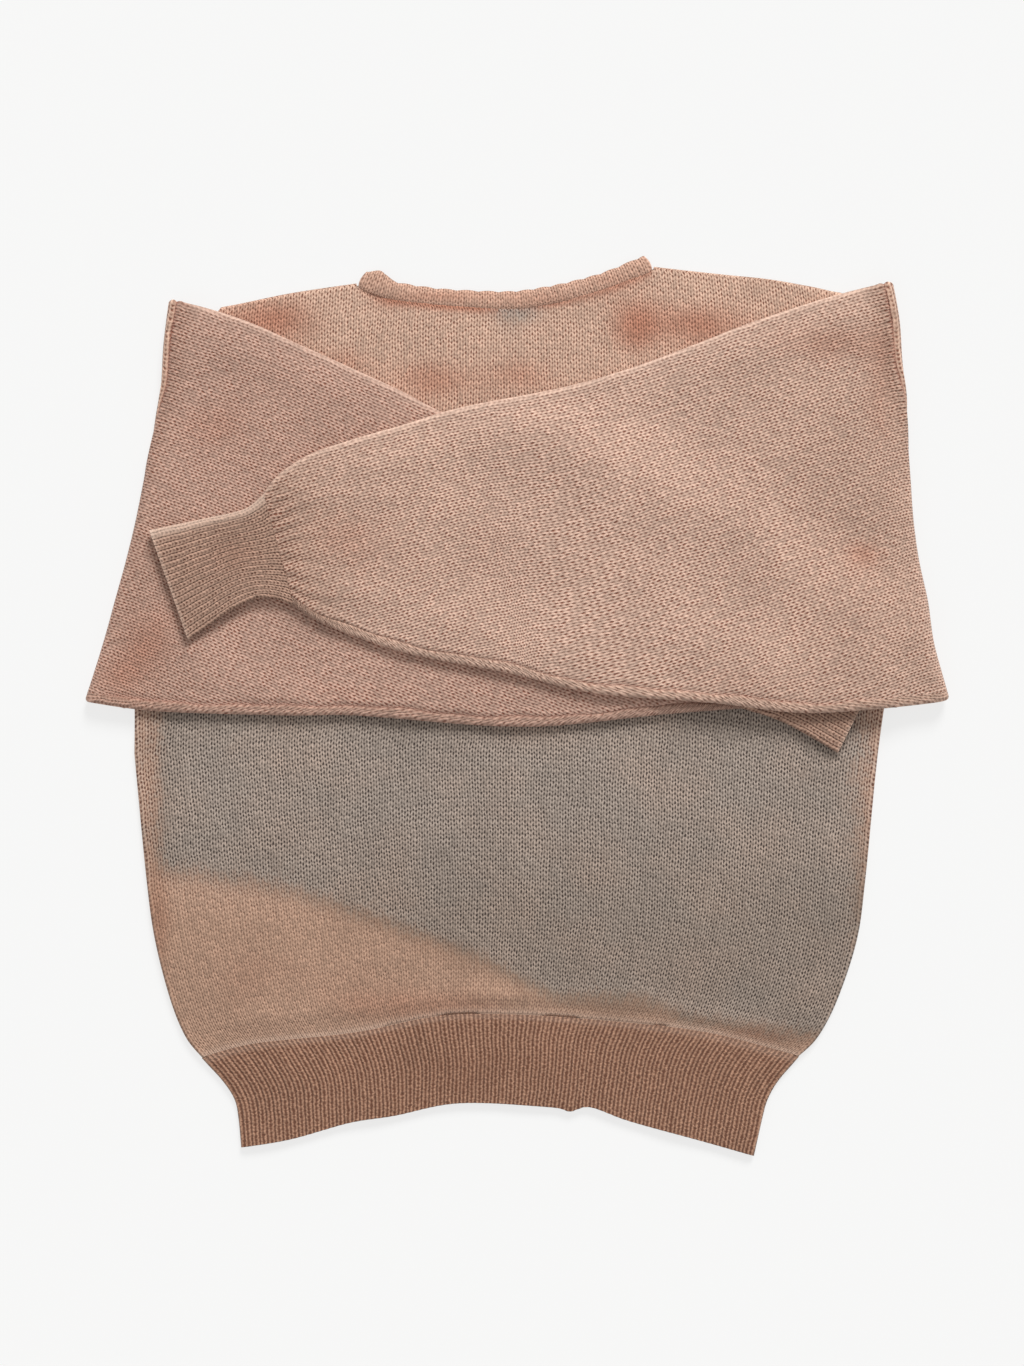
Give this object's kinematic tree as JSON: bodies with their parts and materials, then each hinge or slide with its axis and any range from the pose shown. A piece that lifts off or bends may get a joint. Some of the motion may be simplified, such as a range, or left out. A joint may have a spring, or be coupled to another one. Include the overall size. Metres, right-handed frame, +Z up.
{
  "type": "darned wool sweater",
  "caption": "Loose knitted wool pullover with drop shoulders and ribbed hem and cuffs, laid face down with both sleeves folded across its back.",
  "frame": {"origin": "on the surface that the garment lies on, under the middle of its outline", "axes": "+X towards the wearer's right shoulder, +Y from the hem to the neck, +Z up from the surface, which is also out of the garment's back"},
  "size_m": [0.6216, 0.6527, 0.0192],
  "materials": {
    "body_knit": "open plain-knit wool, peach pink with a soft grey-blue field low on the body, brushed and slightly fuzzy, matte",
    "sleeve_knit": "open plain-knit wool, peach pink, brushed and slightly fuzzy, matte",
    "cuff_rib": "one-by-one ribbed wool, peach pink, matte",
    "hem_rib": "one-by-one ribbed wool, darker terracotta pink, matte",
    "neck_rib": "folded knitted wool band, peach pink, matte"
  },
  "bodies": {
    "root": {"front": "body_knit", "back": "body_knit", "sleeve_left": "sleeve_knit", "sleeve_right": "sleeve_knit", "cuff_left": "cuff_rib", "cuff_right": "cuff_rib", "hem_front": "hem_rib", "hem_back": "hem_rib", "neckband": "neck_rib"}
  },
  "joints": []
}
